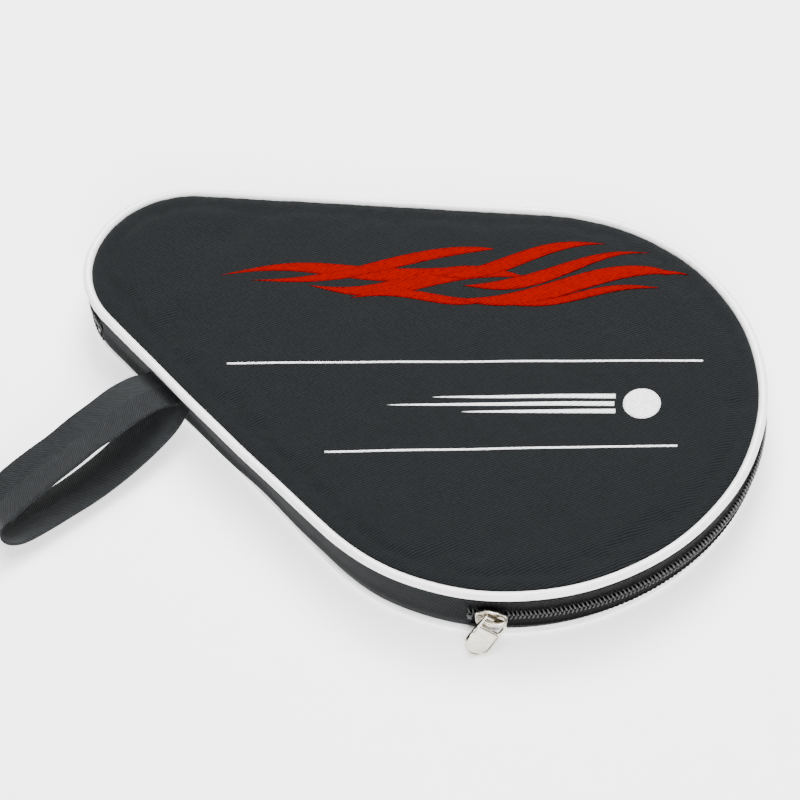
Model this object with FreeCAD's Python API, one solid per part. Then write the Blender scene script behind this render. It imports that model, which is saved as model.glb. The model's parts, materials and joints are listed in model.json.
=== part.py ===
"""Table-tennis paddle case: two padded panels, a zip round three sides, a cloth gusset and a strap.

Millimetres, +Z up, lying on its back panel. The origin is on the surface that the case lies on, under
the centre of the round head end. +X points from the handle end to the head end, and +Y to the zip side.
"""
import FreeCAD
import Part
import math
import os

V = FreeCAD.Vector
UP = V(0, 0, 1)
ORIGIN = V(0, 0, 0)

# Overall shape: two circles joined by straight sides, measured over the piping.
HEAD_RADIUS = 100.0
HANDLE_RADIUS = 42.3
CENTRE_DISTANCE = 157.7
CASE_HEIGHT = 27.0

# Each panel, from outside to inside.
CLOTH = 0.8
FOAM = 3.0
LINING = 0.5

# Piping at each panel's edge: a cord in a sleeve, with a lip that is sewn behind the wall.
PIPING_DIAMETER = 3.8
PIPING_CORE = 2.8
LIP_THICKNESS = 0.8
LIP_TO_ZIP = 3.0

# Wall between the two pipings, and the tape that binds its raw edges inside.
WALL_OUTSIDE_SEAM = 0.1
TAPE_THICKNESS = 0.8
GUSSET_CLOTH = 0.5
BINDING = 0.8
BINDING_FLANGE = 4.0
BINDING_MARGIN = 1.2

# Zip: two coils on the outside of their tapes. The angles are where the cloth gusset starts.
ZIP_ABOVE_MIDDLE = 0.5
COIL_WIDTH = 2.6
COIL_THICKNESS = 1.2
HEAD_ZIP_END = -73.0
HANDLE_ZIP_END = 241.0
STOP_LENGTH = 1.6

# Slider, its crown and its pull. The slider stands almost at the head end of the zip.
SLIDER_ANGLE = -67.5
SLIDER_LENGTH = 12.0
OUTER_PLATE_HEIGHT = 9.0
INNER_PLATE_HEIGHT = 7.0
OUTER_PLATE = 1.2
INNER_PLATE = 1.0
OUTER_PLATE_GAP = 0.4
INNER_PLATE_GAP = 2.0
POST_LENGTH = 1.6
POST_HEIGHT = 0.8
POST_CLEARANCE = 0.3
CROWN_GAP_LENGTH = 6.2
PULL_CLEARANCE = 0.55
CROWN_THICKNESS = 1.0
CROWN_WIDTH = 1.8
CROWN_ALONG = 1.6
PULL_ALONG = 2.0
PULL_OUT, PULL_BACK, PULL_DOWN = 7.9, -10.8, -13.0
PULL_WIDTH = 11.5
PULL_TOP_WIDTH = 10.8
PULL_THICKNESS = 1.1
PULL_RIM = 1.0
PULL_RIM_HEIGHT = 0.35
PULL_SLOT_WIDTH = 8.6
PULL_SLOT_LENGTH = 3.6
PULL_CROSSBAR = 1.1
FLOOR_GAP = 0.3

# Front panel's hinge line, along the top of the cloth gusset.
HINGE_OUTSIDE_WALL = 0.4
HINGE_BELOW_PIPING = 0.3
GUSSET_BELOW_HINGE = 0.3

# Webbing strap, folded into a loop and sewn to the gusset beside the handle end.
STRAP_ALONG = 105.0
STRAP_WIDTH = 22.0
STRAP_THICKNESS = 1.4
STRAP_REACH = 88.0
STRAP_LEVEL = 16.5
STRAP_FOLD_RADIUS = 8.2
STRAP_ROOT_GAP = 0.2
STRAP_PIVOT_OUT = 0.8
STRAP_ROOT_OUT = 4.0
ANCHOR_OUT = 1.3
ANCHOR_HEIGHT = 2.0

# Values that follow from the ones above.
TANGENT = math.degrees(math.acos((HANDLE_RADIUS - HEAD_RADIUS) / CENTRE_DISTANCE))
PANEL = CLOTH + FOAM + LINING
PIPING_RADIUS = PIPING_DIAMETER / 2
WALL_SETBACK = PIPING_RADIUS - WALL_OUTSIDE_SEAM
LIP_DEPTH = WALL_SETBACK + TAPE_THICKNESS
BINDING_DEPTH = LIP_DEPTH + LIP_THICKNESS
HINGE_LEVEL = CASE_HEIGHT - PIPING_DIAMETER - HINGE_BELOW_PIPING
GUSSET_TOP = HINGE_LEVEL - GUSSET_BELOW_HINGE
ZIP_LEVEL = CASE_HEIGHT / 2 + ZIP_ABOVE_MIDDLE
ROW_GAP = POST_HEIGHT + 2 * POST_CLEARANCE
LIP_HEIGHT = CASE_HEIGHT / 2 - PIPING_DIAMETER - ROW_GAP / 2 - LIP_TO_ZIP
CROWN_GAP_HEIGHT = PULL_THICKNESS + 2 * PULL_CLEARANCE
COIL_OUTSIDE = HEAD_RADIUS - WALL_SETBACK + COIL_THICKNESS
PLATE_OUTSIDE = COIL_OUTSIDE + OUTER_PLATE_GAP + OUTER_PLATE
PULL_PIVOT_RADIUS = PLATE_OUTSIDE + CROWN_GAP_HEIGHT / 2
STRAP_ROOT_RADIUS = STRAP_THICKNESS + STRAP_ROOT_GAP


def level(height, upper):
    """A height above the back face, or the same distance below the front face."""
    return CASE_HEIGHT - height if upper else height


# A profile is drawn at the case's edge: depth in from the piping's outermost line, and height.

def profile(points):
    """Flat face through (depth, height) corners."""
    corners = [V(-depth, 0, height) for depth, height in points]
    return Part.Face(Part.makePolygon(corners + corners[:1]))


def rectangle(depth_out, depth_in, low, high):
    return profile([(depth_out, low), (depth_in, low), (depth_in, high), (depth_out, high)])


def disc(depth, height, radius):
    circle = Part.Circle(V(-depth, 0, height), V(0, 1, 0), radius)
    return Part.Face(Part.Wire([circle.toShape()]))


def at_edge(face, centre_x, edge_radius, angle):
    """The profile moved to an edge circle and turned about that circle's centre."""
    placed = face.copy()
    placed.translate(V(centre_x + edge_radius, 0, 0))
    placed.rotate(V(centre_x, 0, 0), UP, angle)
    return placed


def head_arc(face, start, stop):
    return at_edge(face, 0, HEAD_RADIUS, start).revolve(ORIGIN, UP, stop - start)


def handle_arc(face, start, stop):
    placed = at_edge(face, -CENTRE_DISTANCE, HANDLE_RADIUS, start)
    return placed.revolve(V(-CENTRE_DISTANCE, 0, 0), UP, stop - start)


def straight_side(face, side):
    """Side +1 is the zip side, side -1 the gusset side."""
    angle = math.radians(side * TANGENT)
    shrink = HANDLE_RADIUS - HEAD_RADIUS
    run = V(shrink * math.cos(angle) - CENTRE_DISTANCE, shrink * math.sin(angle), 0)
    return at_edge(face, 0, HEAD_RADIUS, side * TANGENT).extrude(run)


def joined(pieces):
    """One solid from pieces that share faces."""
    whole = pieces[0].fuse(pieces[1:]).removeSplitter()
    return whole.Solids[0]


def along_zip(face):
    return [
        head_arc(face, HEAD_ZIP_END, TANGENT),
        straight_side(face, 1),
        handle_arc(face, TANGENT, HANDLE_ZIP_END),
    ]


def along_gusset(face):
    return [
        handle_arc(face, HANDLE_ZIP_END, 360 - TANGENT),
        straight_side(face, -1),
        head_arc(face, -TANGENT, HEAD_ZIP_END),
    ]


def two_circle_wire(big_radius, small_radius, distance):
    """Outline round a circle at the origin and a smaller one at -X, with its straight tangents."""
    angle = math.acos((small_radius - big_radius) / distance)
    far = V(-distance, 0, 0)
    touch = V(math.cos(angle), math.sin(angle), 0)
    mirror = V(touch.x, -touch.y, 0)
    head = Part.Arc(mirror * big_radius, V(big_radius, 0, 0), touch * big_radius)
    tail = Part.Arc(far + touch * small_radius, far - V(small_radius, 0, 0), far + mirror * small_radius)
    upper = Part.LineSegment(touch * big_radius, far + touch * small_radius)
    lower = Part.LineSegment(far + mirror * small_radius, mirror * big_radius)
    return Part.Wire([edge.toShape() for edge in (head, upper, tail, lower)])


def panel_layer(outside, thickness, upper):
    """A flat layer of a panel, cut to the piping's inner line."""
    depth = PIPING_DIAMETER
    wire = two_circle_wire(HEAD_RADIUS - depth, HANDLE_RADIUS - depth, CENTRE_DISTANCE)
    low = min(level(outside, upper), level(outside + thickness, upper))
    layer = Part.Face(wire).extrude(V(0, 0, thickness))
    layer.translate(V(0, 0, low))
    return layer


def piping(upper):
    """Sleeve round the cord, with its lip wherever a wall on the same half of the case is sewn to it."""
    middle = level(PIPING_RADIUS, upper)
    ring = disc(PIPING_RADIUS, middle, PIPING_RADIUS)
    sleeve = joined(along_zip(ring) + along_gusset(ring))
    lip_end = level(PIPING_DIAMETER + LIP_HEIGHT, upper)
    lip = rectangle(LIP_DEPTH, BINDING_DEPTH, min(middle, lip_end), max(middle, lip_end))
    run = along_zip(lip) if upper else along_zip(lip) + along_gusset(lip)
    return sleeve.fuse(joined(run)).cut(piping_core(upper)).removeSplitter().Solids[0]


def piping_core(upper):
    cord = disc(PIPING_RADIUS, level(PIPING_RADIUS, upper), PIPING_CORE / 2)
    return joined(along_zip(cord) + along_gusset(cord))


def zip_tape(upper):
    row = ZIP_LEVEL + ROW_GAP / 2 if upper else ZIP_LEVEL - ROW_GAP / 2
    seam = level(PIPING_DIAMETER, upper)
    return joined(along_zip(rectangle(WALL_SETBACK, LIP_DEPTH, min(row, seam), max(row, seam))))


def coil(upper):
    row = ZIP_LEVEL + ROW_GAP / 2 if upper else ZIP_LEVEL - ROW_GAP / 2 - COIL_WIDTH
    return joined(along_zip(rectangle(WALL_SETBACK - COIL_THICKNESS, WALL_SETBACK, row, row + COIL_WIDTH)))


def binding(upper):
    """L-shaped tape over the raw edges inside: one leg on the lip, one under the panel's lining."""
    seam = level(PANEL, upper)
    flange = level(PANEL + BINDING, upper)
    end = level(PIPING_DIAMETER + LIP_HEIGHT + BINDING_MARGIN, upper)
    inner = BINDING_DEPTH + BINDING
    outline = [(BINDING_DEPTH, end), (BINDING_DEPTH, seam), (inner + BINDING_FLANGE, seam),
               (inner + BINDING_FLANGE, flange), (inner, flange), (inner, end)]
    tape = profile(outline)
    return joined(along_zip(tape) if upper else along_zip(tape) + along_gusset(tape))


def gusset():
    inner = WALL_SETBACK + GUSSET_CLOTH
    return joined(along_gusset(rectangle(WALL_SETBACK, inner, PIPING_DIAMETER, GUSSET_TOP)))


def gusset_lining():
    outer = WALL_SETBACK + GUSSET_CLOTH
    return joined(along_gusset(rectangle(outer, LIP_DEPTH, PIPING_DIAMETER, GUSSET_TOP)))


def end_stop(at_head):
    """Moulded stop across the end of the lower coil."""
    top = ZIP_LEVEL - ROW_GAP / 2
    block = rectangle(WALL_SETBACK - COIL_THICKNESS - OUTER_PLATE_GAP, WALL_SETBACK - COIL_THICKNESS,
                      top - COIL_WIDTH, top)
    turn = math.degrees(STOP_LENGTH / (HEAD_RADIUS if at_head else HANDLE_RADIUS))
    if at_head:
        return head_arc(block, HEAD_ZIP_END, HEAD_ZIP_END + turn)
    return handle_arc(block, HANDLE_ZIP_END - turn, HANDLE_ZIP_END)


def slider_strip(outer_radius, thickness, height, start, length):
    """Curved bar that follows the head's edge, from start millimetres round from the slider's middle."""
    per_mm = math.degrees(1 / HEAD_RADIUS)
    depth = HEAD_RADIUS - outer_radius
    bar = rectangle(depth, depth + thickness, ZIP_LEVEL - height / 2, ZIP_LEVEL + height / 2)
    first = SLIDER_ANGLE + start * per_mm
    return head_arc(bar, first, first + length * per_mm)


def slider_body():
    half = SLIDER_LENGTH / 2
    inner_radius = HEAD_RADIUS - LIP_DEPTH - INNER_PLATE_GAP
    post = PLATE_OUTSIDE - inner_radius + INNER_PLATE
    plates = slider_strip(PLATE_OUTSIDE, OUTER_PLATE, OUTER_PLATE_HEIGHT, -half, SLIDER_LENGTH)
    inner = slider_strip(inner_radius, INNER_PLATE, INNER_PLATE_HEIGHT, -half, SLIDER_LENGTH)
    return joined([plates, inner, slider_strip(PLATE_OUTSIDE, post, POST_HEIGHT, -half, POST_LENGTH)])


def slider_crown():
    """Bridge over the outer plate, along the slider's travel and nearer its head end."""
    span = CROWN_GAP_LENGTH + 2 * CROWN_THICKNESS
    top = PLATE_OUTSIDE + CROWN_GAP_HEIGHT + CROWN_THICKNESS
    bridge = slider_strip(top, CROWN_THICKNESS, CROWN_WIDTH, CROWN_ALONG - span / 2, span)
    rise = CROWN_GAP_HEIGHT + CROWN_THICKNESS
    legs = [slider_strip(top, rise, CROWN_WIDTH, CROWN_ALONG + start, CROWN_THICKNESS)
            for start in (-span / 2, CROWN_GAP_LENGTH / 2)]
    return joined([bridge] + legs)


def pull_axes():
    """Pull's width, length and face directions at rest, with its face turned as far outward as it can."""
    angle = math.radians(SLIDER_ANGLE)
    outward = V(math.cos(angle), math.sin(angle), 0)
    tangent = V(-math.sin(angle), math.cos(angle), 0)
    length = (outward * PULL_OUT + tangent * PULL_BACK + UP * PULL_DOWN).normalize()
    face = (outward - length * outward.dot(length)).normalize()
    return face.cross(length), length, face


def pull_pivot():
    """Middle of the pull's crossbar, which hangs near the head end of the crown's gap."""
    angle = math.radians(SLIDER_ANGLE) + PULL_ALONG / PULL_PIVOT_RADIUS
    return V(PULL_PIVOT_RADIUS * math.cos(angle), PULL_PIVOT_RADIUS * math.sin(angle), ZIP_LEVEL)


def frame_matrix(x_axis, y_axis, z_axis, origin):
    return FreeCAD.Matrix(x_axis.x, y_axis.x, z_axis.x, origin.x,
                          x_axis.y, y_axis.y, z_axis.y, origin.y,
                          x_axis.z, y_axis.z, z_axis.z, origin.z, 0, 0, 0, 1)


def pull_outline(inset, tip):
    """Tapered tongue with a round tip, from the crossbar's far side to the tip."""
    half_top = PULL_TOP_WIDTH / 2 - inset
    radius = PULL_WIDTH / 2 - inset
    shoulder = tip - PULL_WIDTH / 2
    top = -PULL_CROSSBAR / 2 + inset
    left, right = V(-half_top, top, 0), V(half_top, top, 0)
    low_right, low_left = V(radius, shoulder, 0), V(-radius, shoulder, 0)
    edges = [Part.LineSegment(left, right), Part.LineSegment(right, low_right),
             Part.Arc(low_right, V(0, shoulder + radius, 0), low_left), Part.LineSegment(low_left, left)]
    return Part.Face(Part.Wire([edge.toShape() for edge in edges]))


def pull_tab():
    """Oval tab with a slot at its top, a raised rim and a plain face. It rests with its tip on the table."""
    width, length, face = pull_axes()
    radius = PULL_WIDTH / 2
    half_thick = PULL_THICKNESS / 2
    drop = ZIP_LEVEL - FLOOR_GAP - radius * math.hypot(width.z, length.z) - half_thick * abs(face.z)
    tip = radius - drop / length.z
    tab = pull_outline(0, tip).extrude(V(0, 0, PULL_THICKNESS))
    plain_from = PULL_CROSSBAR / 2 + PULL_SLOT_LENGTH + PULL_RIM
    recess = pull_outline(PULL_RIM, tip).extrude(V(0, 0, PULL_RIM_HEIGHT))
    recess.translate(V(0, 0, PULL_THICKNESS - PULL_RIM_HEIGHT))
    below_slot = Part.makeBox(PULL_WIDTH, tip, PULL_RIM_HEIGHT,
                              V(-radius, plain_from, PULL_THICKNESS - PULL_RIM_HEIGHT))
    slot = Part.makeBox(PULL_SLOT_WIDTH, PULL_SLOT_LENGTH, PULL_THICKNESS,
                        V(-PULL_SLOT_WIDTH / 2, PULL_CROSSBAR / 2, 0))
    tab = tab.cut(recess.common(below_slot)).cut(slot)
    tab.translate(V(0, 0, -half_thick))
    placed = tab.transformed(frame_matrix(width, length, face, pull_pivot()))
    return placed.removeSplitter().Solids[0]


def gusset_side_point(outside_wall, along, height):
    """A point beside the straight gusset wall, measured from its head-end corner."""
    angle = math.radians(-TANGENT)
    outward = V(math.cos(angle), math.sin(angle), 0)
    toward_handle = V(outward.y, -outward.x, 0)
    point = outward * (HEAD_RADIUS - WALL_SETBACK + outside_wall) + toward_handle * along
    return point + UP * height


def gusset_side_axes():
    """Directions along the gusset side towards the head end, and outward from it."""
    outward = gusset_side_point(1, 0, 0) - gusset_side_point(0, 0, 0)
    return V(-outward.y, outward.x, 0), outward


def strap_loop():
    """Webbing loop seen from its edge as a belt round a wide fold and a narrow sewn end."""
    along, outward = gusset_side_axes()
    fold_out = STRAP_REACH - STRAP_FOLD_RADIUS
    fold_height = STRAP_FOLD_RADIUS + FLOOR_GAP
    root = gusset_side_point(STRAP_ROOT_OUT, STRAP_ALONG, STRAP_LEVEL)
    fold = gusset_side_point(fold_out, STRAP_ALONG, fold_height)
    distance = (fold - root).Length
    length = (fold - root).normalize()
    rise = along.cross(length)
    outer = Part.Face(two_circle_wire(STRAP_FOLD_RADIUS, STRAP_ROOT_RADIUS, distance))
    inner = Part.Face(two_circle_wire(STRAP_FOLD_RADIUS - STRAP_THICKNESS,
                                      STRAP_ROOT_RADIUS - STRAP_THICKNESS, distance))
    loop = outer.cut(inner).extrude(V(0, 0, STRAP_WIDTH))
    loop.translate(V(0, 0, -STRAP_WIDTH / 2))
    return loop.transformed(frame_matrix(length, rise, length.cross(rise), fold)).Solids[0]


def strap_anchor():
    """The webbing's two ends, sewn flat to the gusset."""
    along, outward = gusset_side_axes()
    block = Part.makeBox(STRAP_WIDTH, ANCHOR_OUT, ANCHOR_HEIGHT,
                         V(-STRAP_WIDTH / 2, 0, -ANCHOR_HEIGHT / 2))
    place = gusset_side_point(0, STRAP_ALONG, STRAP_LEVEL)
    return block.transformed(frame_matrix(along, outward, along.cross(outward), place)).Solids[0]


def build():
    nodes = {}
    for side, upper in (("back", False), ("front", True)):
        nodes[side + "_cloth"] = panel_layer(0, CLOTH, upper)
        nodes[side + "_foam"] = panel_layer(CLOTH, FOAM, upper)
        nodes[side + "_lining"] = panel_layer(CLOTH + FOAM, LINING, upper)
        nodes[side + "_piping"] = piping(upper)
        nodes[side + "_piping_core"] = piping_core(upper)
        nodes[side + "_zip_tape"] = zip_tape(upper)
        nodes[side + "_coil"] = coil(upper)
        nodes[side + "_binding"] = binding(upper)
    nodes["gusset"] = gusset()
    nodes["gusset_lining"] = gusset_lining()
    nodes["head_end_stop"] = end_stop(True)
    nodes["handle_end_stop"] = end_stop(False)
    nodes["strap_anchor"] = strap_anchor()
    nodes["slider_body"] = slider_body()
    nodes["slider_crown"] = slider_crown()
    nodes["pull_tab"] = pull_tab()
    nodes["strap_loop"] = strap_loop()
    return nodes


def main():
    os.makedirs("parts", exist_ok=True)
    for name, shape in build().items():
        shape.exportStep("parts/" + name + ".step")
        print(name, "valid", shape.isValid(), "volume", round(shape.Volume, 1))


if __name__ == "__main__":
    main()
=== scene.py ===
"""Blender add-on for a padded table-tennis paddle case.

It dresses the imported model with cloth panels, vinyl piping, a coil zip, webbing, thread and print.
"""
import json
import math

import bmesh
import bpy
import numpy as np
from bpy.props import FloatProperty, FloatVectorProperty, PointerProperty
from mathutils import Matrix, Vector, geometry
from mathutils.bvhtree import BVHTree


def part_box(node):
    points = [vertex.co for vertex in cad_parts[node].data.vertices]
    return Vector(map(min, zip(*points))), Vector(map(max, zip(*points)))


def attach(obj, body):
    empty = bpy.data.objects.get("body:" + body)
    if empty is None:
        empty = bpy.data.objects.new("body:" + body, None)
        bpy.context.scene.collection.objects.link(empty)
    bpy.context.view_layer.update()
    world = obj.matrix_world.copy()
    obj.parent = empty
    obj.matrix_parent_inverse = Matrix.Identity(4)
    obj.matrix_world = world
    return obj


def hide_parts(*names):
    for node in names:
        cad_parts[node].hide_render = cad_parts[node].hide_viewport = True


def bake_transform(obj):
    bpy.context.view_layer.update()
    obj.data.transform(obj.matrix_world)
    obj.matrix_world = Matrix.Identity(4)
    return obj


bl_info = {
    "name": "Padded paddle case",
    "version": (1, 0, 0),
    "blender": (4, 5, 0),
    "location": "View3D > Sidebar > Paddle case",
    "description": "Cloth, piping, zip, strap and print for a padded table-tennis paddle case",
    "category": "Object",
}

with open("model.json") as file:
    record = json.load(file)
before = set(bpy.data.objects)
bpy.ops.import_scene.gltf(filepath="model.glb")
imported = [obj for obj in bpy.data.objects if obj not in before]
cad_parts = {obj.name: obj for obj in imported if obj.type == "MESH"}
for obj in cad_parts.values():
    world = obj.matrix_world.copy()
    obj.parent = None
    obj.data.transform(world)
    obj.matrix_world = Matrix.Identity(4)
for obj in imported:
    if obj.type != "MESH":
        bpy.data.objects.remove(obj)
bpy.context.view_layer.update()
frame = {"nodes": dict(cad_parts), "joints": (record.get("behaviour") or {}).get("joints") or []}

MM = 0.001
PULL_HINGE = next(joint for joint in frame["joints"] if joint["name"] == "pull_swing")
STRAP_HINGE = next(joint for joint in frame["joints"] if joint["name"] == "strap_swing")

# The case's outline, over the piping: a head circle at the origin and a handle circle towards -X.
PIPING_LOW, PIPING_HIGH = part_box("front_piping")
HEAD_RADIUS = PIPING_HIGH.x
HANDLE_RADIUS = 42.3 * MM
CENTRE_DISTANCE = -PIPING_LOW.x - HANDLE_RADIUS
CASE_HEIGHT = PIPING_HIGH.z
TANGENT = math.acos((HANDLE_RADIUS - HEAD_RADIUS) / CENTRE_DISTANCE)
SIDE_LENGTH = math.sqrt(CENTRE_DISTANCE**2 - (HEAD_RADIUS - HANDLE_RADIUS) ** 2)
HEAD_LENGTH = 2 * TANGENT * HEAD_RADIUS
HANDLE_LENGTH = 2 * (math.pi - TANGENT) * HANDLE_RADIUS
EDGE_LENGTH = HEAD_LENGTH + HANDLE_LENGTH + 2 * SIDE_LENGTH

# The zip runs round the edge between two stations, measured from the gusset's corner at the head end.
ZIP_START = HEAD_RADIUS * (TANGENT + math.radians(-73))
ZIP_END = HEAD_LENGTH + SIDE_LENGTH + HANDLE_RADIUS * (math.radians(241) - TANGENT)
SLIDER_ANGLE = math.radians(-67.5)
ZIP_LEVEL = 14 * MM
PIPING_RADIUS = 1.9 * MM
WALL_DEPTH = 1.8 * MM
WALL_THICKNESS = 0.8 * MM
PANEL_THICKNESS = 4.3 * MM
GUSSET_OUT = Vector((math.cos(TANGENT), -math.sin(TANGENT), 0))
GUSSET_ALONG = Vector((GUSSET_OUT.y, -GUSSET_OUT.x, 0))


# ---------------------------------------------------------------- colours and nodes

def linear(code):
    """Linear colour with alpha from an sRGB hex code."""
    parts = [int(code[i:i + 2], 16) / 255 for i in (0, 2, 4)]
    return (*(c / 12.92 if c <= 0.04045 else ((c + 0.055) / 1.055) ** 2.4 for c in parts), 1.0)


def add_node(tree, kind, inputs, output=0, **settings):
    """Adds a node with its settings, sets or links its inputs by label or number, and gives one output."""
    node = tree.nodes.new(kind)
    for key, value in settings.items():
        setattr(node, key, value)
    for key, value in inputs.items():
        if isinstance(value, bpy.types.NodeSocket):
            tree.links.new(value, node.inputs[key])
        else:
            node.inputs[key].default_value = value
    return node.outputs[output]


class Finish:
    """A new node material: its tree, its shader and its places, in metres."""

    def __init__(self, name, woven_along=False, **values):
        self.material = bpy.data.materials.new(name)
        self.material.use_nodes = True
        self.tree = self.material.node_tree
        self.shader = self.tree.nodes["Principled BSDF"]
        for key, value in values.items():
            self.shader.inputs[key.replace("_", " ")].default_value = value
        self.place = self.add("TexCoord", {}, "Object")
        self.along = self.add("UVMap", {}, uv_map="along") if woven_along else self.place

    def add(self, kind, inputs, output=0, **settings):
        return add_node(self.tree, "ShaderNode" + kind, inputs, output, **settings)

    def ribs(self, spacing, turn=0.0, tilt=0.0):
        """Soft ribs, one every spacing metres along the turned X axis."""
        turned = self.add("Mapping", {"Vector": self.along, "Rotation": (0, tilt, turn)})
        return self.add("TexWave", {"Vector": turned, "Scale": math.pi / (10 * spacing), "Distortion": 0.35,
                                    "Detail": 1.0, "Detail Scale": 2.0}, "Fac")

    def paint(self, factor, first, second, height, distance, strength=1.0):
        """Colours the surface from first to second, and raises it by a height."""
        tint = self.add("Mix", {0: factor, 6: first, 7: second}, 2, data_type="RGBA")
        self.tree.links.new(tint, self.shader.inputs["Base Color"])
        bump = self.add("Bump", {"Height": height, "Distance": distance, "Strength": strength})
        self.tree.links.new(bump, self.shader.inputs["Normal"])
        return self.material


# ---------------------------------------------------------------- materials

def polyester_twill(outer):
    """Polyester twill, woven: fine diagonal ribs with painted shade, darker in their grooves and lighter on their
    crests, dull, and slightly mottled by handling.
    """
    finish = Finish("Woven polyester twill", Roughness=0.9, Specular_IOR_Level=0.12, Sheen_Weight=0.03)
    # Real ribs are about 0.4 mm apart; they are drawn at 1 mm so that they show.
    rib = finish.ribs(1.0 * MM, turn=0.62, tilt=0.5)
    yarn = finish.ribs(0.8 * MM, turn=-0.95)
    slub = finish.add("TexNoise", {"Vector": finish.place, "Scale": 620, "Detail": 4, "Roughness": 0.7})
    mottle = finish.add("TexNoise", {"Vector": finish.place, "Scale": 70, "Detail": 6, "Roughness": 0.75})
    cross = finish.add("MapRange", {0: yarn, 3: 0.72, 4: 1.0})
    weave = finish.add("Math", {0: rib, 1: cross}, operation="MULTIPLY")
    fibre = finish.add("Math", {0: weave, 1: slub}, operation="ADD")
    # Painted shade: the ribs' grooves are coloured darker and their crests lighter, and the slubs add random fibre
    # tone.
    lit = finish.add("MapRange", {0: fibre, 1: 0.35, 2: 1.45})
    dusty = finish.add("Mix", {0: mottle, 6: linear(outer[1]), 7: linear(outer[2])}, 2, data_type="RGBA")
    return finish.paint(lit, linear(outer[0]), dusty, fibre, 0.16 * MM, 0.7)


def nylon_taffeta():
    """Nylon taffeta lining: a plain fine weave with a faint shine."""
    finish = Finish("Nylon taffeta lining", Roughness=0.5, Specular_IOR_Level=0.3)
    # Real threads are about 0.25 mm apart; they are drawn at 0.8 mm so that they show.
    weave = finish.add("Math", {0: finish.ribs(0.8 * MM), 1: finish.ribs(0.8 * MM, turn=math.pi / 2)},
                       operation="MULTIPLY")
    crease = finish.add("TexNoise", {"Vector": finish.place, "Scale": 90, "Detail": 3})
    height = finish.add("Math", {0: weave, 1: crease}, operation="ADD")
    return finish.paint(weave, linear("101114"), linear("24262A"), height, 0.12 * MM, 0.6)


def vinyl_sleeve():
    """Soft white vinyl, extruded and stretched over a cord: glossy, with fine creases and a little grime."""
    finish = Finish("White vinyl piping", True, Roughness=0.3, Coat_Weight=0.3, Coat_Roughness=0.15,
                    Subsurface_Weight=0.1)
    finish.shader.inputs["Subsurface Radius"].default_value = (2 * MM, 2 * MM, 2 * MM)
    stretched = finish.add("Mapping", {"Vector": finish.along, "Scale": (700, 90, 1)})
    crease = finish.add("TexNoise", {"Vector": stretched, "Scale": 1.0, "Detail": 3})
    grime = finish.add("TexNoise", {"Vector": finish.place, "Scale": 150, "Detail": 5, "Roughness": 0.7})
    worn = finish.add("MapRange", {0: grime, 1: 0.56, 2: 0.8})
    return finish.paint(worn, linear("FBFBFA"), linear("C6C6C0"), crease, 0.12 * MM, 0.5)


def narrow_tape(name, spacing, dark, light):
    """Woven polyester tape: fine ribs across its length, coloured darker in their grooves as painted shade, and a soft
    fuzz.
    """
    finish = Finish(name, True, Roughness=0.8, Specular_IOR_Level=0.15)
    fuzz = finish.add("TexNoise", {"Vector": finish.place, "Scale": 650, "Detail": 3})
    rib = finish.add("Math", {0: finish.ribs(spacing), 1: finish.ribs(spacing, turn=math.pi / 2)},
                     operation="MULTIPLY")
    # Painted shade: the ribs' grooves are coloured darker and their crests lighter, and the fuzz adds random tone.
    lit = finish.add("Math", {0: rib, 1: fuzz}, operation="MULTIPLY")
    return finish.paint(lit, linear(dark), linear(light), rib, 0.15 * MM, 0.7)


def herringbone_webbing():
    """Polypropylene webbing, woven in herringbone: slanted ribs that turn back along its middle, coloured darker in
    their grooves as painted shade.
    """
    finish = Finish("Herringbone webbing", True, Roughness=0.7, Specular_IOR_Level=0.2, Sheen_Weight=0.03)
    across = finish.add("SeparateXYZ", {"Vector": finish.along}, 1)
    length = finish.add("SeparateXYZ", {"Vector": finish.along}, 0)
    # The weave turns back every 11 mm across the webbing, and its ribs are 1.3 mm apart.
    band = finish.add("Math", {0: across, 1: 11 * MM}, operation="PINGPONG")
    slant = finish.add("Math", {0: band, 1: 1.15, 2: length}, operation="MULTIPLY_ADD")
    phase = finish.add("Math", {0: slant, 1: 2 * math.pi / (1.3 * MM)}, operation="MULTIPLY")
    rib = finish.add("Math", {0: phase}, operation="SINE")
    fuzz = finish.add("TexNoise", {"Vector": finish.place, "Scale": 500, "Detail": 4})
    woven = finish.add("MapRange", {0: rib, 1: -1.0, 2: 1.0})
    # Painted shade: the ribs' grooves are coloured darker and their crests lighter, and the fuzz adds random tone.
    lit = finish.add("Math", {0: woven, 1: fuzz}, operation="MULTIPLY")
    return finish.paint(lit, linear("060708"), linear("2C3033"), woven, 0.3 * MM, 0.8)


def nylon_monofilament():
    """Black nylon monofilament, extruded and set: half glossy, so each turn catches a small light."""
    finish = Finish("Nylon zip coil", Roughness=0.32, Specular_IOR_Level=0.45)
    grain = finish.add("TexNoise", {"Vector": finish.place, "Scale": 400, "Detail": 2})
    return finish.paint(grain, linear("08080A"), linear("151518"), grain, 0.05 * MM, 0.4)


def nickel_plate():
    """Zinc casting, tumbled and nickel plated: a mirror with soft dents and a warm tint."""
    finish = Finish("Bright nickel plate", Metallic=1.0)
    marks = finish.add("TexNoise", {"Vector": finish.place, "Scale": 480, "Detail": 4})
    dents = finish.add("TexNoise", {"Vector": finish.place, "Scale": 170, "Detail": 2})
    rough = finish.add("MapRange", {0: marks, 3: 0.06, 4: 0.2})
    finish.tree.links.new(rough, finish.shader.inputs["Roughness"])
    return finish.paint(marks, linear("D6D0C4"), linear("A8A194"), dents, 0.6 * MM, 0.6)


def sewing_thread(name, dark, light):
    """Twisted polyester thread: two shades in a fine spiral."""
    finish = Finish(name, Roughness=0.65, Specular_IOR_Level=0.25)
    spiral = finish.ribs(0.5 * MM, turn=0.7, tilt=0.6)
    return finish.paint(spiral, linear(dark), linear(light), spiral, 0.06 * MM, 0.6)


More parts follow.
